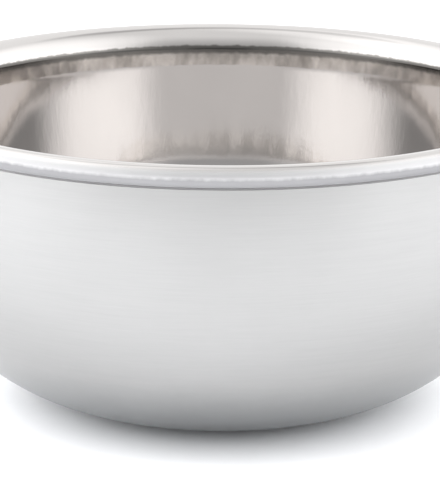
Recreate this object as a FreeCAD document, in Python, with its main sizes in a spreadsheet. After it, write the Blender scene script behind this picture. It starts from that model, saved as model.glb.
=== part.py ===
"""Double-walled steel lather bowl, standing on its base.

Origin: centre of the base, on the surface the bowl stands on.  +Z is up, millimetres.
A polished inner bowl rolls outwards into a round lip.  A satin outer shell stands around it,
with its neck tucked up inside the roll, and a weld closes the seam below the lip.  The walls
are concentric arcs, so the air gap between them is even.  Inside the shell's foot ring a
pressed recess holds the vent plug, and a cover bonded over it.
"""
import FreeCAD, Part
import math
import os
import Sketcher

# Driving dimensions: alias, millimetres, meaning.
DIMENSIONS = [
    ("rim_diameter", 115.0, "across the outside of the lip"),
    ("bowl_height", 53.0, "standing surface to the top of the lip"),
    ("lip_roll", 1.875, "outside radius of the rolled edge"),
    ("lip_flare", 4.4, "radius from the crown of the lip to the inner wall"),
    ("lip_overhang", 1.35, "how far the lip stands out past the shell's neck"),
    ("wall_curve", 90.0, "radius of the shell's upper wall in section"),
    ("corner_curve", 36.5, "radius of the shell's turn into the base in section"),
    ("inner_sheet", 0.6, "sheet thickness of the inner bowl"),
    ("shell_sheet", 0.6, "sheet thickness of the outer shell"),
    ("seam_gap", 0.07, "clearance from the rolled edge to the shell's neck"),
    ("weld_leg", 0.25, "how far the seam weld runs down the neck below the roll"),
    ("foot_width", 4.2, "width of the flat ring that the bowl stands on"),
    ("recess_depth", 1.4, "height of the pressed recess inside the foot ring"),
    ("press_bend", 0.5, "bend radius along the recess"),
    ("vent_diameter", 2.0, "vent hole at the centre of the recess"),
    ("plug_clearance", 0.05, "radial clearance of the plug's shank in the vent"),
    ("plug_head", 4.4, "diameter of the plug's head"),
    ("plug_head_height", 0.3, "height of the plug's head"),
    ("plug_tail", 0.8, "how far the plug's shank reaches past the sheet"),
    ("bond_thickness", 0.4, "thickness of the adhesive behind the cover"),
    ("bond_margin", 1.6, "distance from the recess wall to the adhesive"),
    ("bond_width", 5.0, "width of the ring of adhesive"),
    ("cover_sheet", 0.5, "sheet thickness of the base cover"),
    ("cover_clearance", 0.15, "radial clearance of the cover in the recess"),
    ("cover_edge", 0.2, "bevel along the cover's lower edge"),
]

# Sizes and places that several pieces share, as expressions on the sheet's cells.
CROWN_RADIUS = "(Sizes.rim_diameter / 2 - Sizes.lip_roll)"
NECK_RADIUS = "(Sizes.rim_diameter / 2 - Sizes.lip_overhang)"
ROLL_HEIGHT = "(Sizes.bowl_height - Sizes.lip_roll)"
ROLL_INSIDE = "(Sizes.lip_roll - Sizes.inner_sheet)"
SPRING_HEIGHT = "(Sizes.bowl_height - Sizes.lip_flare)"
WALL_DEPTH = "(Sizes.lip_flare + Sizes.lip_roll - Sizes.lip_overhang)"
ARC_REACH = "(Sizes.wall_curve - Sizes.corner_curve)"
ARC_RISE = f"({SPRING_HEIGHT} - Sizes.corner_curve)"
WALL_CENTRE = f"({NECK_RADIUS} - Sizes.wall_curve)"
FOOT_RADIUS = f"({WALL_CENTRE} + sqrt({ARC_REACH} ^ 2 - {ARC_RISE} ^ 2))"
RECESS_RADIUS = f"({FOOT_RADIUS} - Sizes.foot_width)"
BOND_RADIUS = f"({RECESS_RADIUS} - Sizes.bond_margin)"
COVER_TOP = "(Sizes.recess_depth - Sizes.bond_thickness)"

# Sketcher's numbers for the two ends and the centre of a curve, and for a sketch's own axes
# and origin.  The level axis lies on the standing surface, the upright one on the bowl's axis.
START, END, CENTRE = 1, 2, 3
LEVEL_AXIS, UPRIGHT_AXIS = -1, -2
SKETCH_ORIGIN = (LEVEL_AXIS, START)

# Two places closer than this are one place.
SAME_PLACE = 0.0001

doc = FreeCAD.newDocument("LatherBowl")


def make_sheet():
    """Spreadsheet of the driving dimensions, one in each row: value, alias and meaning."""
    table = doc.addObject("Spreadsheet::Sheet", "Sizes")
    for row, (alias, millimetres, meaning) in enumerate(DIMENSIONS, start=1):
        table.set(f"A{row}", str(millimetres))
        table.setAlias(f"A{row}", alias)
        table.set(f"B{row}", alias)
        table.set(f"C{row}", meaning)
    doc.recompute()
    return table


sheet = make_sheet()


def value(expression):
    """Number that an expression on the sheet gives."""
    return float(sheet.evalExpression(expression))


def around(centre, radius, angle):
    """Point at a radius and an angle, in degrees, from a centre."""
    turn = math.radians(angle)
    return (centre[0] + radius * math.cos(turn), centre[1] + radius * math.sin(turn))


class Section:
    """Half section of a turned piece, in its own body, on that body's XZ plane.

    A stroke is one curve of the outline: its number and the ends where it is entered and left.
    """

    def __init__(self, label):
        self.body = doc.addObject("PartDesign::Body", label)
        self.body.Label = label
        self.sketch = self.body.newObject("Sketcher::SketchObject", label + "_section")
        plane = next(item for item in self.body.Origin.OriginFeatures if item.Role == "XZ_Plane")
        self.sketch.AttachmentSupport = [(plane, "")]
        self.sketch.MapMode = "FlatFace"

    def line(self, start, end, construction=False):
        curve = Part.LineSegment(FreeCAD.Vector(*start, 0), FreeCAD.Vector(*end, 0))
        return (self.sketch.addGeometry(curve, construction), START, END)

    def arc(self, centre, radius, entered, left):
        """Arc from one angle to another, in degrees from the radial direction."""
        circle = Part.Circle(FreeCAD.Vector(*centre, 0), FreeCAD.Vector(0, 0, 1), radius)
        low, high = sorted((entered, left))
        curve = Part.ArcOfCircle(circle, math.radians(low), math.radians(high))
        number = self.sketch.addGeometry(curve, False)
        return (number, START, END) if entered < left else (number, END, START)

    def tie(self, kind, *places):
        return self.sketch.addConstraint(Sketcher.Constraint(kind, *places))

    def join(self, kind, strokes):
        for before, after in zip(strokes, strokes[1:]):
            self.tie(kind, before[0], before[2], after[0], after[1])

    def corner(self, *strokes):
        self.join("Coincident", strokes)

    def smooth(self, *strokes):
        self.join("Tangent", strokes)

    def level(self, *strokes):
        for stroke in strokes:
            self.tie("Horizontal", stroke[0])

    def plumb(self, *strokes):
        for stroke in strokes:
            self.tie("Vertical", stroke[0])

    def same_centre(self, first, second):
        self.tie("Coincident", first[0], CENTRE, second[0], CENTRE)

    def measure(self, expression, kind, *places):
        """Dimension that stays bound to an expression on the sheet."""
        number = self.tie(kind, *places, value(expression))
        self.sketch.setExpression(f"Constraints[{number}]", expression)

    def radius(self, stroke, expression):
        self.measure(expression, "Radius", stroke[0])

    def length(self, stroke, expression):
        self.measure(expression, "Distance", stroke[0], START, stroke[0], END)

    def out(self, stroke, expression, place=START):
        """Distance of a stroke's end, or its centre, from the axis."""
        self.measure(expression, "DistanceX", *SKETCH_ORIGIN, stroke[0], place)

    def up(self, stroke, expression, place=START):
        """Height of a stroke's end, or its centre, above the standing surface."""
        self.measure(expression, "DistanceY", *SKETCH_ORIGIN, stroke[0], place)

    def turn(self):
        """Revolves the section all the way round the bowl's axis."""
        turned = self.body.newObject("PartDesign::Revolution", self.body.Label + "_turned")
        turned.Profile = self.sketch
        turned.ReferenceAxis = (self.sketch, ["V_Axis"])
        turned.Angle = 360
        doc.recompute()
        return self.body


def dress_edges(body, kind, label, places, size_name, cell):
    """Fillet or chamfer on a turned body's circular edges at the given (radius, height) places,
    with its size bound to a cell of the sheet."""
    base = body.Tip
    names = []
    for number, edge in enumerate(base.Shape.Edges, start=1):
        if not isinstance(edge.Curve, Part.Circle):
            continue
        found = (edge.Curve.Radius, edge.Curve.Center.z)
        if any(math.dist(found, place) < SAME_PLACE for place in places):
            names.append(f"Edge{number}")
    if len(names) != len(places):
        raise RuntimeError(f"{label}: {len(places)} edges wanted, {len(names)} found")
    dressing = body.newObject(kind, label)
    dressing.Base = (base, names)
    dressing.setExpression(size_name, cell)


def wall_arcs(depth):
    """The corner and wall arcs that lie a depth inside the shell's face, as (centre, radius),
    and the angle from the radial direction at which they meet."""
    corner_at = (value(FOOT_RADIUS), value("Sizes.corner_curve"))
    wall_at = (value(WALL_CENTRE), value(SPRING_HEIGHT))
    meet = -math.degrees(math.asin(value(ARC_RISE) / value(ARC_REACH)))
    corner_radius = value("Sizes.corner_curve") - depth
    wall_radius = value("Sizes.wall_curve") - depth
    return (corner_at, corner_radius), (wall_at, wall_radius), meet


def roll_end():
    """Angle at which the rolled edge ends, just clear of the shell's neck."""
    reach = value(f"{NECK_RADIUS} + Sizes.seam_gap - {CROWN_RADIUS}")
    return -math.degrees(math.acos(reach / value(ROLL_INSIDE)))


def make_inner_bowl():
    """Deep-drawn bowl: floor, corner, wall, flared lip, and the edge rolled under."""
    gauge = value("Sizes.inner_sheet")
    depth = value(WALL_DEPTH)
    flare, roll = value("Sizes.lip_flare"), value("Sizes.lip_roll")
    flare_at = (value(CROWN_RADIUS), value(SPRING_HEIGHT))
    roll_at = (value(CROWN_RADIUS), value(ROLL_HEIGHT))
    tuck = roll_end()
    face_corner, face_wall, meet = wall_arcs(depth)
    back_corner, back_wall, meet = wall_arcs(depth - gauge)
    flat = value(FOOT_RADIUS)

    bowl = Section("inner_bowl")
    floor = bowl.line((0, depth), (flat, depth))
    corner = bowl.arc(*face_corner, -90, meet)
    wall = bowl.arc(*face_wall, meet, 0)
    lip = bowl.arc(flare_at, flare, 180, 90)
    edge = bowl.arc(roll_at, roll, 90, tuck)
    hem = bowl.line(around(roll_at, roll, tuck), around(roll_at, roll - gauge, tuck))
    edge_back = bowl.arc(roll_at, roll - gauge, tuck, 90)
    lip_back = bowl.arc(flare_at, flare - gauge, 90, 180)
    wall_back = bowl.arc(*back_wall, 0, meet)
    corner_back = bowl.arc(*back_corner, meet, -90)
    floor_back = bowl.line((flat, depth - gauge), (0, depth - gauge))
    axis = bowl.line((0, depth - gauge), (0, depth))

    bowl.smooth(floor, corner, wall, lip, edge)
    bowl.corner(edge, hem, edge_back)
    bowl.smooth(edge_back, lip_back, wall_back, corner_back, floor_back)
    bowl.corner(floor_back, axis, floor)
    bowl.level(floor, floor_back)
    bowl.plumb(axis)
    for face, back in ((corner, corner_back), (wall, wall_back), (lip, lip_back), (edge, edge_back)):
        bowl.same_centre(face, back)
    bowl.tie("Vertical", lip[0], CENTRE, edge[0], CENTRE)
    bowl.tie("Horizontal", lip[0], CENTRE, wall[0], CENTRE)
    bowl.tie("PointOnObject", edge[0], CENTRE, hem[0])
    bowl.tie("PointOnObject", axis[0], START, UPRIGHT_AXIS)
    bowl.up(floor, WALL_DEPTH)
    bowl.length(axis, "Sizes.inner_sheet")
    bowl.radius(corner, f"Sizes.corner_curve - {WALL_DEPTH}")
    bowl.radius(wall, f"Sizes.wall_curve - {WALL_DEPTH}")
    bowl.radius(lip, "Sizes.lip_flare")
    bowl.radius(edge, "Sizes.lip_roll")
    bowl.out(edge, CROWN_RADIUS, CENTRE)
    bowl.up(edge, ROLL_HEIGHT, CENTRE)
    bowl.out(hem, f"{NECK_RADIUS} + Sizes.seam_gap", END)
    return bowl.turn()


def make_outer_shell():
    """Shell: foot ring, recess pressed up inside it, corner, wall, and the neck in the roll."""
    gauge = value("Sizes.shell_sheet")
    vent, recess = value("Sizes.vent_diameter / 2"), value(RECESS_RADIUS)
    rise, flat = value("Sizes.recess_depth"), value(FOOT_RADIUS)
    neck_radius, spring, neck_top = value(NECK_RADIUS), value(SPRING_HEIGHT), value(ROLL_HEIGHT)
    face_corner, face_wall, meet = wall_arcs(0)
    back_corner, back_wall, meet = wall_arcs(gauge)
    inside = neck_radius - gauge

    shell = Section("outer_shell")
    ceiling = shell.line((vent, rise), (recess, rise))
    step = shell.line((recess, rise), (recess, 0))
    foot = shell.line((recess, 0), (flat, 0))
    corner = shell.arc(*face_corner, -90, meet)
    wall = shell.arc(*face_wall, meet, 0)
    neck = shell.line((neck_radius, spring), (neck_radius, neck_top))
    brim = shell.line((neck_radius, neck_top), (inside, neck_top))
    neck_back = shell.line((inside, neck_top), (inside, spring))
    wall_back = shell.arc(*back_wall, 0, meet)
    corner_back = shell.arc(*back_corner, meet, -90)
    foot_back = shell.line((flat, gauge), (recess + gauge, gauge))
    step_back = shell.line((recess + gauge, gauge), (recess + gauge, rise + gauge))
    ceiling_back = shell.line((recess + gauge, rise + gauge), (vent, rise + gauge))
    vent_wall = shell.line((vent, rise + gauge), (vent, rise))

    shell.smooth(foot, corner, wall, neck)
    shell.corner(neck, brim, neck_back)
    shell.smooth(neck_back, wall_back, corner_back, foot_back)
    shell.corner(foot_back, step_back, ceiling_back, vent_wall, ceiling, step, foot)
    shell.level(ceiling, foot, brim, foot_back, ceiling_back)
    shell.plumb(step, neck, neck_back, step_back, vent_wall)
    shell.same_centre(corner, corner_back)
    shell.same_centre(wall, wall_back)
    shell.tie("PointOnObject", foot[0], START, LEVEL_AXIS)
    shell.radius(corner, "Sizes.corner_curve")
    shell.radius(wall, "Sizes.wall_curve")
    shell.out(neck, NECK_RADIUS)
    shell.up(neck, SPRING_HEIGHT)
    shell.up(brim, ROLL_HEIGHT)
    shell.length(brim, "Sizes.shell_sheet")
    shell.length(foot, "Sizes.foot_width")
    shell.out(step_back, f"{RECESS_RADIUS} + Sizes.shell_sheet")
    shell.out(ceiling, "Sizes.vent_diameter / 2")
    shell.length(step, "Sizes.recess_depth")
    shell.length(vent_wall, "Sizes.shell_sheet")
    body = shell.turn()

    sharp = [(recess, 0), (recess, rise), (recess + gauge, gauge), (recess + gauge, rise + gauge)]
    dress_edges(body, "PartDesign::Fillet", "outer_shell_bends", sharp, "Radius", "Sizes.press_bend")
    return body


def make_rim_weld():
    """Seam weld: fills the gap below the rolled edge and runs a little way down the neck."""
    neck, tuck = value(NECK_RADIUS), roll_end()
    roll_at = (value(CROWN_RADIUS), value(ROLL_HEIGHT))
    inner_lip = around(roll_at, value(ROLL_INSIDE), tuck)
    outer_lip = around(roll_at, value("Sizes.lip_roll"), tuck)
    toe_height = outer_lip[1] - value("Sizes.weld_leg")

    weld = Section("rim_weld")
    spoke = weld.line(roll_at, inner_lip, construction=True)
    hem = weld.line(inner_lip, outer_lip)
    face = weld.line(outer_lip, (neck, toe_height))
    neck_side = weld.line((neck, toe_height), (neck, inner_lip[1]))
    root = weld.line((neck, inner_lip[1]), inner_lip)

    weld.corner(spoke, hem, face, neck_side, root, hem)
    weld.tie("Parallel", spoke[0], hem[0])
    weld.plumb(neck_side)
    weld.level(root)
    weld.out(spoke, CROWN_RADIUS)
    weld.up(spoke, ROLL_HEIGHT)
    weld.length(spoke, ROLL_INSIDE)
    weld.length(hem, "Sizes.inner_sheet")
    weld.out(neck_side, NECK_RADIUS)
    weld.out(hem, f"{NECK_RADIUS} + Sizes.seam_gap")
    weld.measure("Sizes.weld_leg", "DistanceY", face[0], END, face[0], START)
    return weld.turn()


def make_vent_plug():
    """Steel plug that closes the vent: a shank through the sheet and a flat head below it."""
    head, ceiling = value("Sizes.plug_head / 2"), value("Sizes.recess_depth")
    bottom = ceiling - value("Sizes.plug_head_height")
    top = ceiling + value("Sizes.shell_sheet + Sizes.plug_tail")
    shank = value("Sizes.vent_diameter / 2 - Sizes.plug_clearance")

    plug = Section("vent_plug")
    base = plug.line((0, bottom), (head, bottom))
    rim = plug.line((head, bottom), (head, ceiling))
    seat = plug.line((head, ceiling), (shank, ceiling))
    side = plug.line((shank, ceiling), (shank, top))
    end = plug.line((shank, top), (0, top))
    axis = plug.line((0, top), (0, bottom))

    plug.corner(base, rim, seat, side, end, axis, base)
    plug.level(base, seat, end)
    plug.plumb(rim, side, axis)
    plug.tie("PointOnObject", axis[0], START, UPRIGHT_AXIS)
    plug.out(rim, "Sizes.plug_head / 2")
    plug.length(rim, "Sizes.plug_head_height")
    plug.up(seat, "Sizes.recess_depth")
    plug.out(side, "Sizes.vent_diameter / 2 - Sizes.plug_clearance")
    plug.length(side, "Sizes.shell_sheet + Sizes.plug_tail")
    return plug.turn()


def make_cover_bond():
    """Ring of adhesive between the recess and the base cover."""
    outside, ceiling = value(BOND_RADIUS), value("Sizes.recess_depth")
    inside, bottom = outside - value("Sizes.bond_width"), value(COVER_TOP)

    bond = Section("cover_bond")
    lower = bond.line((inside, bottom), (outside, bottom))
    outer = bond.line((outside, bottom), (outside, ceiling))
    upper = bond.line((outside, ceiling), (inside, ceiling))
    inner = bond.line((inside, ceiling), (inside, bottom))

    bond.corner(lower, outer, upper, inner, lower)
    bond.level(lower, upper)
    bond.plumb(outer, inner)
    bond.out(outer, BOND_RADIUS)
    bond.up(outer, COVER_TOP)
    bond.length(lower, "Sizes.bond_width")
    bond.length(outer, "Sizes.bond_thickness")
    return bond.turn()


def make_base_cover():
    """Flat disc that closes the recess, set back above the standing surface."""
    edge, top = value(f"{RECESS_RADIUS} - Sizes.cover_clearance"), value(COVER_TOP)
    bottom = top - value("Sizes.cover_sheet")

    cover = Section("base_cover")
    lower = cover.line((0, bottom), (edge, bottom))
    rim = cover.line((edge, bottom), (edge, top))
    upper = cover.line((edge, top), (0, top))
    axis = cover.line((0, top), (0, bottom))

    cover.corner(lower, rim, upper, axis, lower)
    cover.level(lower, upper)
    cover.plumb(rim, axis)
    cover.tie("PointOnObject", axis[0], START, UPRIGHT_AXIS)
    cover.out(rim, f"{RECESS_RADIUS} - Sizes.cover_clearance")
    cover.up(upper, COVER_TOP)
    cover.length(rim, "Sizes.cover_sheet")
    body = cover.turn()

    rim_edge = [(edge, bottom)]
    dress_edges(body, "PartDesign::Chamfer", "base_cover_bevel", rim_edge, "Size", "Sizes.cover_edge")
    return body


def write_parts(bodies):
    """Stops if anything failed to build, then writes each body's solid to parts/LABEL.step."""
    doc.recompute()
    for item in doc.Objects:
        if "Invalid" in item.State or "Error" in item.State:
            raise RuntimeError(f"{item.Label} did not build")
    for body in bodies:
        if body.Shape.isNull() or not body.Shape.isValid():
            raise RuntimeError(f"{body.Label} has no sound shape")
    os.makedirs("parts", exist_ok=True)
    for body in bodies:
        body.Shape.exportStep(f"parts/{body.Label}.step")
        print(f"{body.Label}: {len(body.Shape.Solids)} solid, {body.Shape.Volume:.1f} mm3")


write_parts([
    make_inner_bowl(),
    make_outer_shell(),
    make_rim_weld(),
    make_vent_plug(),
    make_cover_bond(),
    make_base_cover(),
])
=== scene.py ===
"""Looks of a double-walled steel lather bowl: finishes, a pale set, soft light and the camera.

Metres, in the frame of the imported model: origin at the centre of the base, +Z up.
"""
import bpy
import math
from mathutils import Matrix, Vector


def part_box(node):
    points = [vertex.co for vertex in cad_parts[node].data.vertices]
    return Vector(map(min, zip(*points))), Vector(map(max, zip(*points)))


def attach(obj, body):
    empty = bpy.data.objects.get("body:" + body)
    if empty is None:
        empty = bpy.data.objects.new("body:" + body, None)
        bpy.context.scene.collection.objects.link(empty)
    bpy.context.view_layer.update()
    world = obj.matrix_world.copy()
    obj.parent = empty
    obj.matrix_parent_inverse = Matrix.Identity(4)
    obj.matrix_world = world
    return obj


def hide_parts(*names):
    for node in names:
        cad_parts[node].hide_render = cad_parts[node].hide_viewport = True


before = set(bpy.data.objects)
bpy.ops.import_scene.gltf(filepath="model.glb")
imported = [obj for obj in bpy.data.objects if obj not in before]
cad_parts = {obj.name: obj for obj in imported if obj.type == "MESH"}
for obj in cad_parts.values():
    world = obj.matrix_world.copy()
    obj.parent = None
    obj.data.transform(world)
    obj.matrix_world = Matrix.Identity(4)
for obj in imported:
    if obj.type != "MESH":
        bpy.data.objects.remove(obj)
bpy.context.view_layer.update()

# ---------------------------------------------------------------- sizes, read from the frame

bowl_low, bowl_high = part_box("inner_bowl")
_, shell_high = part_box("outer_shell")
weld_low, weld_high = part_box("rim_weld")
cover_low, cover_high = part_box("base_cover")
_, bond_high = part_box("cover_bond")

SHEET = 0.0006
WALL_CURVE = 0.090
CORNER_CURVE = 0.0365
COVER_CLEARANCE = 0.00015
PRESS_BEND = 0.0005
VENT_RADIUS = 0.001

RIM_RADIUS = bowl_high.x
HEIGHT = bowl_high.z
NECK_RADIUS = shell_high.x
ROLL = HEIGHT - shell_high.z
OVERHANG = RIM_RADIUS - NECK_RADIUS
WALL_DEPTH = bowl_low.z + SHEET
FLARE = WALL_DEPTH - ROLL + OVERHANG
CROWN_RADIUS = RIM_RADIUS - ROLL
SPRING_HEIGHT = HEIGHT - FLARE
ARC_RISE = SPRING_HEIGHT - CORNER_CURVE
ARC_REACH = WALL_CURVE - CORNER_CURVE
WALL_CENTRE = (NECK_RADIUS - WALL_CURVE, SPRING_HEIGHT)
FOOT_RADIUS = WALL_CENTRE[0] + math.sqrt(ARC_REACH ** 2 - ARC_RISE ** 2)
CORNER_CENTRE = (FOOT_RADIUS, CORNER_CURVE)
MEET_ANGLE = -math.degrees(math.asin(ARC_RISE / ARC_REACH))
RECESS_RADIUS = cover_high.x + COVER_CLEARANCE
RECESS_HEIGHT = bond_high.z

# ---------------------------------------------------------------- turned pieces

# The inside wall: its radius, and its centre's height over the flare's start.
FACE_CURVE, FACE_RAISE = 0.100, 0.0037
# The band under the lip: height, lean in degrees, and how far the wall steps in below it, from where up.
BAND_HEIGHT, BAND_LEAN = 0.0022, 5.5
BAND_TAPER, TAPER_START = 0.00022, 0.012
BEAD_THICKNESS, BEAD_CREST = 0.00025, 0.00007
RING_SHARE, RING_WIDTH, RING_DEPTH = 0.62, 0.0012, 0.00018
COVER_BEND = 0.0002
ON_AXIS = 1e-9

SEGMENTS = 360


def arc(centre, radius, start, end, step=2.0):
    """Points (radius, height) along a circular arc, angles in degrees, both ends included."""
    count = max(2, math.ceil(abs(end - start) / step))
    angles = [math.radians(start + (end - start) * i / count) for i in range(count + 1)]
    return [(centre[0] + radius * math.cos(a), centre[1] + radius * math.sin(a)) for a in angles]


def turned(name, outline, sharp_angle=40.0):
    """Solid of revolution about Z from a closed outline of (radius, height) points.

    The outline runs clockwise as seen in the radius and height plane, so that faces point outwards.
    """
    verts, rings = [], []
    for radius, height in outline:
        if radius < ON_AXIS:
            rings.append([len(verts)] * SEGMENTS)
            verts.append((0.0, 0.0, height))
            continue
        rings.append(list(range(len(verts), len(verts) + SEGMENTS)))
        for i in range(SEGMENTS):
            turn = 2 * math.pi * i / SEGMENTS
            verts.append((radius * math.cos(turn), radius * math.sin(turn), height))
    faces = []
    for ring, following in zip(rings, rings[1:] + rings[:1]):
        for i in range(SEGMENTS):
            j = (i + 1) % SEGMENTS
            corners = dict.fromkeys((ring[i], ring[j], following[j], following[i]))
            if len(corners) > 2:
                faces.append(tuple(corners))
    mesh = bpy.data.meshes.new(name)
    mesh.from_pydata(verts, [], faces)
    mesh.validate()
    mesh.shade_smooth()
    mesh.set_sharp_from_angle(angle=math.radians(sharp_angle))
    piece = bpy.data.objects.new(name, mesh)
    bpy.context.scene.collection.objects.link(piece)
    return piece


def ease(source, low, high):
    """0 below low, 1 above high, smooth between."""
    share = min(1.0, max(0.0, (source - low) / (high - low)))
    return share * share * (3.0 - 2.0 * share)


def inner_bowl_outline():
    """Pressed bowl: floor, corner, wall and band inside, then the flare, the roll and the back."""
    roll_centre = (CROWN_RADIUS, HEIGHT - ROLL)
    flare_centre = (CROWN_RADIUS, SPRING_HEIGHT)
    seam = weld_high.x - CROWN_RADIUS
    tuck = -math.degrees(math.acos(min(1.0, seam / ROLL)))
    centre_height = SPRING_HEIGHT + FACE_RAISE
    band_angle = -math.degrees(math.asin((FACE_RAISE + BAND_HEIGHT) / FACE_CURVE))
    corner = CORNER_CURVE - WALL_DEPTH
    rise = (centre_height - WALL_DEPTH - corner) / (FACE_CURVE - corner)
    meet = -math.degrees(math.asin(rise))
    inset = math.sqrt(FACE_CURVE ** 2 - FACE_RAISE ** 2)
    wall_centre = (NECK_RADIUS - WALL_DEPTH - inset, centre_height)
    reach = (FACE_CURVE - corner) * math.sqrt(1.0 - rise * rise)
    corner_centre = (wall_centre[0] + reach, WALL_DEPTH + corner)
    face = [(0.0, WALL_DEPTH)]
    face += arc(corner_centre, corner, -90, meet)
    face += arc(wall_centre, FACE_CURVE, meet, band_angle, 0.5)[1:]
    face = [(radius - BAND_TAPER * ease(height, TAPER_START, SPRING_HEIGHT - BAND_HEIGHT), height)
            for radius, height in face]
    face += arc(flare_centre, FLARE, 180 - BAND_LEAN, 90)
    face += arc(roll_centre, ROLL, 90, tuck, 3)[1:]
    back = arc(roll_centre, ROLL - SHEET, tuck, 90, 6)
    back += arc(flare_centre, FLARE - SHEET, 90, 180, 6)[1:]
    back += arc(WALL_CENTRE, WALL_CURVE - WALL_DEPTH + SHEET, 0, MEET_ANGLE, 1)[1:]
    back += arc(CORNER_CENTRE, CORNER_CURVE - WALL_DEPTH + SHEET, MEET_ANGLE, -90, 4)[1:]
    back += [(0.0, WALL_DEPTH - SHEET)]
    return list(reversed(face + back))


def outer_shell_outline():
    """Shell: recess, foot, corner, wall and neck outside, then the same curves a sheet's width in."""
    bend = PRESS_BEND
    inside = NECK_RADIUS - SHEET
    back_wall = RECESS_RADIUS + SHEET
    ceiling = RECESS_HEIGHT + SHEET
    face = [(VENT_RADIUS, RECESS_HEIGHT)]
    face += arc((RECESS_RADIUS - bend, RECESS_HEIGHT - bend), bend, 90, 0, 10)
    face += arc((RECESS_RADIUS + bend, bend), bend, 180, 270, 10)
    face += arc(CORNER_CENTRE, CORNER_CURVE, -90, MEET_ANGLE)
    face += arc(WALL_CENTRE, WALL_CURVE, MEET_ANGLE, 0, 0.5)[1:]
    face += [(NECK_RADIUS, HEIGHT - ROLL)]
    back = [(inside, HEIGHT - ROLL)]
    back += arc(WALL_CENTRE, WALL_CURVE - SHEET, 0, MEET_ANGLE, 1)
    back += arc(CORNER_CENTRE, CORNER_CURVE - SHEET, MEET_ANGLE, -90, 4)[1:]
    back += arc((back_wall + bend, SHEET + bend), bend, 270, 180, 15)
    back += arc((back_wall - bend, ceiling - bend), bend, 0, 90, 15)
    back += [(VENT_RADIUS, ceiling)]
    return face + back


def rim_weld_outline():
    """Small bead between the rolled edge and the neck, thin at its upper end."""
    toe = (NECK_RADIUS, weld_low.z)
    outer = (weld_high.x, weld_low.z + BEAD_THICKNESS)
    return [toe, outer, (NECK_RADIUS + BEAD_CREST, weld_high.z), (NECK_RADIUS, weld_high.z)]


def base_cover_outline():
    """Disc with a rolled edge and a shallow pressed ring."""
    edge, top, bottom = cover_high.x, cover_high.z, cover_low.z
    ring, raised = RING_SHARE * edge, bottom + RING_DEPTH
    low_face = [(0.0, raised), (ring - RING_WIDTH, raised), (ring, bottom)]
    low_face += arc((edge - COVER_BEND, bottom + COVER_BEND), COVER_BEND, 270, 360, 15)
    return low_face + [(edge, top), (0.0, top)]


# ---------------------------------------------------------------- material nodes

# Sockets of a Mix node: factor, then the two colours and the result, or the two numbers.
MIX_FACTOR, MIX_FIRST, MIX_SECOND, MIX_COLOUR = 0, 6, 7, 2
MIX_FIRST_NUMBER, MIX_SECOND_NUMBER = 2, 3

# Grains: features per metre round the axis, and upwards.
HAIRS, RAGGED, PATCHES = (3.0, 9000.0), (45.0, 300.0), (9.0, 90.0)
FINE_BRUSHING, BROAD_BRUSHING = (5.0, 5200.0), (2.0, 700.0)
WELD_RIPPLES, TOOL_RINGS = (260.0, 40.0), (2.0, 6000.0)

POLISH_TINTS = ((0.655, 0.634, 0.622), (0.632, 0.612, 0.601))
# Painted reflection: the dark and light patch tints of the band under the lip.
BAND_PAINTED_REFLECTION_TINTS = ((0.38, 0.355, 0.335), (0.70, 0.663, 0.634))
# Painted shade: the dark line where the flare starts inside the lip.
PAINTED_SHADE_LINE_TINT = (0.23, 0.22, 0.21)
OUTSIDE_TINT = (0.655, 0.652, 0.658)
# Painted shade on the rolled lip's underside.
UNDERSIDE_PAINTED_SHADE_TINT = (0.325, 0.323, 0.33)
SATIN_TINTS = ((0.379, 0.377, 0.374), (0.404, 0.402, 0.398))
# Painted shade: the satin steel darkens to this tint towards the floor, below this height.
FOOT_PAINTED_SHADE_TINT, FOOT_PAINTED_SHADE_TOP = (0.235, 0.246, 0.254), 0.015
WELD_TINTS = ((0.20, 0.20, 0.21), (0.36, 0.35, 0.35))
PLUG_TINTS = ((0.48, 0.47, 0.46), (0.58, 0.57, 0.56))
ADHESIVE_TINTS = ((0.012, 0.012, 0.013), (0.05, 0.05, 0.052))
PAPER_TINTS = ((0.93, 0.93, 0.93), (0.96, 0.96, 0.96))

# Depth of the relief that only bends the light.
WAVE_DEPTH, RIPPLE_DEPTH, HAIR_DEPTH = 0.00007, 0.00001, 0.0000006
BRUSHING_DEPTH, BRUSHING_STRENGTH = 0.000012, 0.45
WELD_DEPTH, RING_MARK_DEPTH, LUMP_DEPTH = 0.00006, 0.00001, 0.00005


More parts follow.
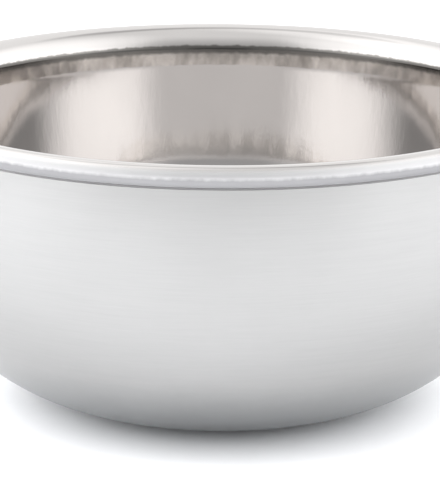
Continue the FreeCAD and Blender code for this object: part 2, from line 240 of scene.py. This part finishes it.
class Nodes:
    """Shorthand for building one material's node tree."""

    def __init__(self, name, diffuse=(0.6, 0.6, 0.6)):
        self.material = bpy.data.materials.new(name)
        self.material.use_nodes = True
        self.material.diffuse_color = (*diffuse, 1.0)
        self.tree = self.material.node_tree
        self.shader = self.tree.nodes["Principled BSDF"]

    def add(self, kind, inputs=None, **settings):
        node = self.tree.nodes.new(kind)
        for key, setting in settings.items():
            setattr(node, key, setting)
        for key, source in (inputs or {}).items():
            self.feed(node.inputs[key], source)
        return node

    def feed(self, socket, source):
        if isinstance(source, bpy.types.NodeSocket):
            self.tree.links.new(source, socket)
        else:
            socket.default_value = source

    def math(self, operation, first, second=0.0, third=0.0):
        node = self.add("ShaderNodeMath", {0: first, 1: second, 2: third}, operation=operation)
        return node.outputs[0]

    def place(self):
        return self.add("ShaderNodeTexCoord").outputs["Object"]

    def round_axis(self):
        """The place split into X, Y and Z, the angle round the bowl's axis and the distance from it."""
        parts = self.add("ShaderNodeSeparateXYZ", {0: self.place()})
        angle = self.math("ARCTAN2", parts.outputs["Y"], parts.outputs["X"])
        across = self.math("MULTIPLY", parts.outputs["X"], parts.outputs["X"])
        radius = self.math("SQRT", self.math("MULTIPLY_ADD", parts.outputs["Y"], parts.outputs["Y"], across))
        return parts, angle, radius

    def noise(self, vector, scale, detail=2.0, roughness=0.5):
        node = self.add("ShaderNodeTexNoise", {"Vector": vector, "Scale": scale, "Detail": detail,
                                               "Roughness": roughness})
        return node.outputs["Fac"]

    def grain(self, size, detail, roughness):
        """Noise stretched round the axis; size is features per metre round it and upwards."""
        return self.noise(grain_vector(self, *size), 1.0, detail, roughness)

    def remap(self, source, low, high, to_low=0.0, to_high=1.0):
        node = self.add("ShaderNodeMapRange", {"Value": source, "From Min": low, "From Max": high,
                                               "To Min": to_low, "To Max": to_high})
        return node.outputs["Result"]

    def between(self, source, rise, fall):
        """1 between two edges, each given as where it is 0 and where it is 1."""
        return self.math("MULTIPLY", self.remap(source, *fall), self.remap(source, *rise))

    def blend(self, factor, first, second):
        node = self.add("ShaderNodeMix", data_type="RGBA")
        self.feed(node.inputs[MIX_FACTOR], factor)
        for index, colour in ((MIX_FIRST, first), (MIX_SECOND, second)):
            self.feed(node.inputs[index], (*colour, 1.0) if isinstance(colour, tuple) else colour)
        return node.outputs[MIX_COLOUR]

    def bump(self, height, distance, strength=1.0, normal=None):
        inputs = {"Height": height, "Distance": distance, "Strength": strength}
        if normal is not None:
            inputs["Normal"] = normal
        return self.add("ShaderNodeBump", inputs).outputs["Normal"]


def grain_vector(nodes, around, upward):
    """Texture place stretched round the axis: around and upward are features per metre."""
    parts, angle, radius = nodes.round_axis()
    sine = nodes.math("SINE", angle)
    cosine = nodes.math("COSINE", angle)
    lengthwise = nodes.add("ShaderNodeCombineXYZ", {
        "X": nodes.math("MULTIPLY", cosine, around),
        "Y": nodes.math("MULTIPLY", sine, around),
        "Z": nodes.math("MULTIPLY", nodes.math("SUBTRACT", parts.outputs["Z"], radius), upward)})
    return lengthwise.outputs["Vector"]


def polished_steel():
    """Mirror-polished pressing: faint waves and hairlines; under the lip a ragged band of painted reflection
    patches, a painted shade line, and painted shade on the roll's underside.
    """
    nodes = Nodes("polished_steel", (0.62, 0.61, 0.59))
    shader, place = nodes.shader, nodes.place()
    parts, _, radius = nodes.round_axis()
    height = parts.outputs["Z"]
    smear = nodes.noise(place, 45.0, 3.0, 0.6)
    hairs = nodes.grain(HAIRS, 3.0, 0.7)
    ragged = nodes.grain(RAGGED, 3.0, 0.6)
    patch = nodes.grain(PATCHES, 3.0, 0.6)
    uneven = nodes.math("ADD", height, nodes.math("MULTIPLY_ADD", ragged, 0.0006, -0.0003))

    band_foot, lip_edge = SPRING_HEIGHT - BAND_HEIGHT, HEIGHT - ROLL
    inside = nodes.remap(radius, CROWN_RADIUS - 0.0008, CROWN_RADIUS - 0.0010)
    outside = nodes.remap(radius, CROWN_RADIUS + 0.60 * ROLL, CROWN_RADIUS + 0.85 * ROLL)
    beyond_neck = nodes.remap(radius, NECK_RADIUS - 0.0004, NECK_RADIUS)
    # The band under the lip: its tint is painted reflection in dark and light patches, and it is also a
    # little rougher.
    band = nodes.between(uneven, (band_foot - 0.0002, band_foot),
                         (SPRING_HEIGHT + 0.0006, SPRING_HEIGHT + 0.0003))
    band = nodes.math("MULTIPLY", band, inside)
    # Painted shade: a dark line just above the band, where the flare starts.
    line = nodes.between(uneven, (SPRING_HEIGHT - 0.0004, SPRING_HEIGHT + 0.0001),
                         (SPRING_HEIGHT + 0.0014, SPRING_HEIGHT + 0.0011))
    line = nodes.math("MULTIPLY", line, inside)
    # Painted shade: the underside of the rolled lip, outside the neck, is darkened.
    under = nodes.math("MULTIPLY", nodes.remap(uneven, lip_edge + 0.0003, lip_edge - 0.0002), beyond_neck)

    tint = nodes.blend(nodes.remap(smear, 0.35, 0.7), *POLISH_TINTS)
    tint = nodes.blend(band, tint, nodes.blend(nodes.remap(patch, 0.40, 0.60), *BAND_PAINTED_REFLECTION_TINTS))
    for mask, colour in ((line, PAINTED_SHADE_LINE_TINT), (outside, OUTSIDE_TINT), (under, UNDERSIDE_PAINTED_SHADE_TINT)):
        tint = nodes.blend(mask, tint, colour)
    shader.inputs["Metallic"].default_value = 1.0
    nodes.feed(shader.inputs["Base Color"], tint)

    polish = nodes.math("MULTIPLY_ADD", hairs, 0.03, nodes.remap(smear, 0.3, 0.75, 0.035, 0.075))
    polish = nodes.math("MULTIPLY_ADD", band, 0.06, polish)
    polish = nodes.math("MULTIPLY_ADD", outside, 0.48, polish)
    nodes.feed(shader.inputs["Roughness"], polish)
    waves = nodes.bump(nodes.noise(place, 75.0, 1.5, 0.45), WAVE_DEPTH)
    ripples = nodes.bump(ragged, RIPPLE_DEPTH, 1.0, waves)
    nodes.feed(shader.inputs["Normal"], nodes.bump(hairs, HAIR_DEPTH, 1.0, ripples))
    return nodes.material


def satin_steel(name="satin_steel"):
    """Lathe-brushed steel: fine grain round the axis, with faint marks, and painted shade darkening it
    towards the foot.
    """
    nodes = Nodes(name, (0.62, 0.62, 0.62))
    shader, place = nodes.shader, nodes.place()
    fine = nodes.grain(FINE_BRUSHING, 4.0, 0.75)
    broad = nodes.grain(BROAD_BRUSHING, 3.0, 0.6)
    patch = nodes.noise(place, 30.0, 3.0, 0.55)
    shader.inputs["Metallic"].default_value = 1.0
    shader.inputs["Anisotropic"].default_value = 0.55
    shader.inputs["Anisotropic Rotation"].default_value = 0.25
    tangent = nodes.add("ShaderNodeTangent", direction_type="RADIAL", axis="Z")
    nodes.feed(shader.inputs["Tangent"], tangent.outputs["Tangent"])
    grain = nodes.math("MULTIPLY_ADD", fine, 0.75, nodes.math("MULTIPLY", broad, 0.25))
    height = nodes.add("ShaderNodeSeparateXYZ", {0: place}).outputs["Z"]
    tint = nodes.blend(nodes.remap(grain, 0.35, 0.65), *SATIN_TINTS)
    # Painted shade: the tint darkens towards the floor at the foot.
    tint = nodes.blend(nodes.remap(height, FOOT_PAINTED_SHADE_TOP, 0.0), tint, FOOT_PAINTED_SHADE_TINT)
    nodes.feed(shader.inputs["Base Color"], tint)
    satin = nodes.remap(patch, 0.3, 0.7, 0.26, 0.33)
    nodes.feed(shader.inputs["Roughness"], nodes.math("MULTIPLY_ADD", grain, 0.10, satin))
    nodes.feed(shader.inputs["Normal"], nodes.bump(grain, BRUSHING_DEPTH, BRUSHING_STRENGTH))
    return nodes.material


def mottled(name, diffuse, texture, tints, dullness, depth, metallic):
    """Material whose tint, roughness and relief all follow one texture, which texture(nodes) gives."""
    nodes = Nodes(name, diffuse)
    shader, relief = nodes.shader, texture(nodes)
    shader.inputs["Metallic"].default_value = metallic
    nodes.feed(shader.inputs["Base Color"], nodes.blend(relief, *tints))
    nodes.feed(shader.inputs["Roughness"], nodes.remap(relief, 0.3, 0.7, *dullness))
    nodes.feed(shader.inputs["Normal"], nodes.bump(relief, depth))
    return nodes.material


def weld_steel():
    """Weld bead: dull, darker, rippled along its run."""
    return mottled("weld_steel", (0.3, 0.3, 0.3), lambda nodes: nodes.grain(WELD_RIPPLES, 2.0, 0.5),
                   WELD_TINTS, (0.42, 0.58), WELD_DEPTH, 1.0)


def plug_steel():
    """Turned plug: fine concentric tool marks."""
    return mottled("plug_steel", (0.55, 0.55, 0.55), lambda nodes: nodes.grain(TOOL_RINGS, 2.0, 0.5),
                   PLUG_TINTS, (0.3, 0.45), RING_MARK_DEPTH, 1.0)


def adhesive():
    """Cured black adhesive, slightly lumpy."""
    return mottled("adhesive", (0.03, 0.03, 0.03),
                   lambda nodes: nodes.noise(nodes.place(), 900.0, 3.0, 0.6),
                   ADHESIVE_TINTS, (0.5, 0.8), LUMP_DEPTH, 0.0)


def floor_paper():
    """Matt white paper with the slightest tooth."""
    nodes = Nodes("floor_paper", (0.95, 0.95, 0.95))
    tooth = nodes.noise(nodes.place(), 400.0, 3.0, 0.6)
    nodes.feed(nodes.shader.inputs["Base Color"], nodes.blend(tooth, *PAPER_TINTS))
    nodes.shader.inputs["Roughness"].default_value = 0.7
    nodes.shader.inputs["Specular IOR Level"].default_value = 0.2
    return nodes.material


# ---------------------------------------------------------------- the bowl

POLISHED, SATIN = polished_steel(), satin_steel()


def add_piece(name, outline, node, material):
    piece = turned(name, outline)
    piece.data.materials.append(material)
    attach(piece, "root")
    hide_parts(node)


add_piece("inner_bowl_finish", inner_bowl_outline(), "inner_bowl", POLISHED)
add_piece("outer_shell_finish", outer_shell_outline(), "outer_shell", SATIN)
add_piece("rim_weld_finish", rim_weld_outline(), "rim_weld", weld_steel())
# The base cover's steel carries the same painted shade towards the floor.
add_piece("base_cover_finish", base_cover_outline(), "base_cover", satin_steel("cover_steel"))

for node_name, make in (("vent_plug", plug_steel), ("cover_bond", adhesive)):
    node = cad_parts[node_name]
    node.data.materials.clear()
    node.data.materials.append(make())

# ---------------------------------------------------------------- set and light

FLOOR_SIZE = 8.0

# The tent's brightness at its sides, back and top, and where one passes into the next.
BACK_LEVEL, SIDE_LEVEL, TOP_LEVEL = 1.17, 0.95, 0.98
SIDE_TO_BACK, OVERHEAD, TOWARDS_CAMERA = (-0.1, 0.8), (0.80, 0.95), (-0.78, -0.965)
NEAR_FLOOR = (0.60, 0.20)
SEAM_DEPTH, SEAM_RISE, SEAM_FALL, SEAM_FACING = 0.42, (0.79, 0.85), (0.95, 0.90), (0.6, 0.95)
LEDGE_DEPTH, LEDGE_RISE, LEDGE_FALL, LEDGE_FACING = 0.50, (0.02, 0.05), (0.19, 0.12), (0.70, 0.40)
CORE_DEPTH, CORE_FALL, CORE_FACING = 0.5, (0.22, 0.10), (-0.965, -0.995)
CAMERA_SIDE_LEVELS = [(0.0, 0.37), (0.20, 0.42), (0.42, 0.54), (0.70, 0.75), (0.90, 0.97), (1.0, 0.97)]
# azimuth, elevation, full within, gone beyond (degrees), gain, extra gain near the floor
GLOWS = [(84, 28, 8, 50, 0.68, 0.50), (-84, 28, 8, 52, 0.68, 0.50), (-125, 56, 8, 34, 0.40, 0.0)]

BOX_COLOUR = (0.945, 0.96, 1.0)
SIDE_OUT, SIDE_Y, SIDE_WIDTH, SIDE_HEIGHT = 0.30, -0.085, 0.37, 0.45
SIDE_AIM, BOWL_FOOT = (0.0, SIDE_Y, SIDE_HEIGHT / 2), (0.0, 0.0, 0.02)
# name, centre, aim, width, height, radiance
SOFT_BOXES = [
    ("fill_left", (-SIDE_OUT, SIDE_Y, SIDE_HEIGHT / 2), SIDE_AIM, SIDE_WIDTH, SIDE_HEIGHT, 3.6),
    ("fill_right", (SIDE_OUT, SIDE_Y, SIDE_HEIGHT / 2), SIDE_AIM, SIDE_WIDTH, SIDE_HEIGHT, 2.8),
    ("fill_above", (0.0, 0.0, 0.9), (0.0, 0.001, 0.0), 1.2, 1.2, 0.45),
    ("fill_front", (0.0, -0.7, 0.3), BOWL_FOOT, 1.0, 0.5, 1.0),
    ("fill_back", (0.0, 0.7, 0.3), BOWL_FOOT, 1.0, 0.5, 1.6),
]


def make_floor():
    mesh = bpy.data.meshes.new("floor")
    half = FLOOR_SIZE / 2
    corners = [(-half, -half, 0.0), (half, -half, 0.0), (half, half, 0.0), (-half, half, 0.0)]
    mesh.from_pydata(corners, [], [(0, 1, 2, 3)])
    floor = bpy.data.objects.new("floor", mesh)
    bpy.context.scene.collection.objects.link(floor)
    mesh.materials.append(floor_paper())


def soft_box(name, centre, aim, width, height, radiance):
    """Rectangular soft light for the floor, facing its aim; it shows in no mirror or camera."""
    light = bpy.data.lights.new(name, "AREA")
    light.shape = "RECTANGLE"
    light.size, light.size_y = width, height
    light.energy = radiance * math.pi * width * height
    light.color = BOX_COLOUR
    box = bpy.data.objects.new(name, light)
    box.location = centre
    box.rotation_euler = (Vector(aim) - Vector(centre)).to_track_quat("-Z", "Y").to_euler()
    box.visible_camera = False
    box.visible_glossy = False
    bpy.context.scene.collection.objects.link(box)


class Tent(Nodes):
    """World shader of a tent: a level for each direction, by height and by facing."""

    def __init__(self):
        world = bpy.data.worlds.new("tent")
        bpy.context.scene.world = world
        world.use_nodes = True
        self.tree = world.node_tree
        self.background = self.tree.nodes["Background"]

    def smooth(self, source, low, high, to_low=0.0, to_high=1.0):
        node = self.add("ShaderNodeMapRange", {"Value": source, "From Min": low, "From Max": high,
                                               "To Min": to_low, "To Max": to_high},
                        interpolation_type="SMOOTHSTEP")
        return node.outputs["Result"]

    def levels(self, source, stops):
        """Grey level at each position of a 0 to 1 source."""
        node = self.add("ShaderNodeValToRGB", {"Fac": source})
        elements = node.color_ramp.elements
        elements.remove(elements[0])
        for index, (position, level) in enumerate(stops):
            element = elements[0] if index == 0 else elements.new(position)
            element.position = position
            element.color = (level, level, level, 1.0)
        return node.outputs["Color"]


def heading(azimuth, elevation):
    """Unit vector; azimuth 0 is towards the camera, 90 to its right."""
    turn, lift = math.radians(azimuth), math.radians(elevation)
    return (math.sin(turn) * math.cos(lift), -math.cos(turn) * math.cos(lift), math.sin(lift))


def make_world():
    """White tent: soft glows at the sides, greyer towards the camera, a seam at the back."""
    tent = Tent()
    place = tent.add("ShaderNodeTexCoord").outputs["Generated"]
    parts = tent.add("ShaderNodeSeparateXYZ", {0: place}).outputs
    upward = parts["Z"]
    level_x = tent.math("MULTIPLY", parts["X"], parts["X"])
    flat = tent.math("SQRT", tent.math("MULTIPLY_ADD", parts["Y"], parts["Y"], level_x))
    facing = tent.math("DIVIDE", parts["Y"], tent.math("MAXIMUM", flat, 0.001))
    sides = tent.smooth(facing, *SIDE_TO_BACK, SIDE_LEVEL, BACK_LEVEL)
    overhead = tent.smooth(upward, *OVERHEAD)
    room = tent.math("MULTIPLY_ADD", overhead, tent.math("SUBTRACT", TOP_LEVEL, sides), sides)

    low = tent.smooth(upward, *NEAR_FLOOR)
    for azimuth, elevation, inner, outer, gain, low_gain in GLOWS:
        toward = tent.add("ShaderNodeVectorMath", {0: place, 1: heading(azimuth, elevation)},
                          operation="DOT_PRODUCT").outputs["Value"]
        glow = tent.smooth(toward, math.cos(math.radians(outer)), math.cos(math.radians(inner)))
        glow = tent.math("MULTIPLY", glow, tent.math("MULTIPLY_ADD", low, low_gain, gain))
        room = tent.math("ADD", room, glow)

    seam = tent.math("MULTIPLY", tent.smooth(upward, *SEAM_RISE), tent.smooth(upward, *SEAM_FALL))
    seam = tent.math("MULTIPLY", seam, tent.smooth(facing, *SEAM_FACING))
    room = tent.math("MULTIPLY_ADD", seam, -SEAM_DEPTH, room)

    ledge = tent.math("MULTIPLY", tent.smooth(upward, *LEDGE_RISE), tent.smooth(upward, *LEDGE_FALL))
    ledge = tent.math("MULTIPLY", ledge, tent.smooth(facing, *LEDGE_FACING))
    room = tent.math("MULTIPLY", room, tent.math("MULTIPLY_ADD", ledge, -LEDGE_DEPTH, 1.0))

    camera_side = tent.levels(upward, CAMERA_SIDE_LEVELS)
    core = tent.math("MULTIPLY", tent.smooth(facing, *CORE_FACING), tent.smooth(upward, *CORE_FALL))
    camera_side = tent.math("MULTIPLY", camera_side, tent.math("MULTIPLY_ADD", core, -CORE_DEPTH, 1.0))
    shade = tent.add("ShaderNodeMix", data_type="FLOAT")
    tent.feed(shade.inputs[MIX_FACTOR], tent.smooth(facing, *TOWARDS_CAMERA))
    tent.feed(shade.inputs[MIX_FIRST_NUMBER], room)
    tent.feed(shade.inputs[MIX_SECOND_NUMBER], camera_side)
    tent.feed(tent.background.inputs["Strength"], shade.outputs[0])
    tent.background.inputs["Color"].default_value = (1.0, 1.0, 1.0, 1.0)


make_floor()
make_world()
for box_values in SOFT_BOXES:
    soft_box(*box_values)

# ---------------------------------------------------------------- camera

CAMERA_DISTANCE = 0.600
CAMERA_ELEVATION = math.radians(12.35)
LOOK_BELOW_RIM = math.radians(2.606)
CAMERA_ROLL = math.radians(0.34)
LENS = 255.5


def make_camera():
    """Long lens, a little above the rim, looking at the front of the body."""
    camera = bpy.data.cameras.new("camera")
    camera.lens = LENS
    camera.sensor_width = 36.0
    camera.clip_start, camera.clip_end = 0.01, 50.0
    view = bpy.data.objects.new("camera", camera)
    bpy.context.scene.collection.objects.link(view)
    back = Vector((0.0, -math.cos(CAMERA_ELEVATION), math.sin(CAMERA_ELEVATION)))
    tilt = math.pi / 2 - CAMERA_ELEVATION - LOOK_BELOW_RIM
    view.matrix_world = (Matrix.Translation(Vector((0.0, 0.0, HEIGHT)) + CAMERA_DISTANCE * back)
                         @ Matrix.Rotation(tilt, 4, "X") @ Matrix.Rotation(CAMERA_ROLL, 4, "Z"))
    bpy.context.scene.camera = view


make_camera()
bpy.context.scene.view_settings.view_transform = "Standard"
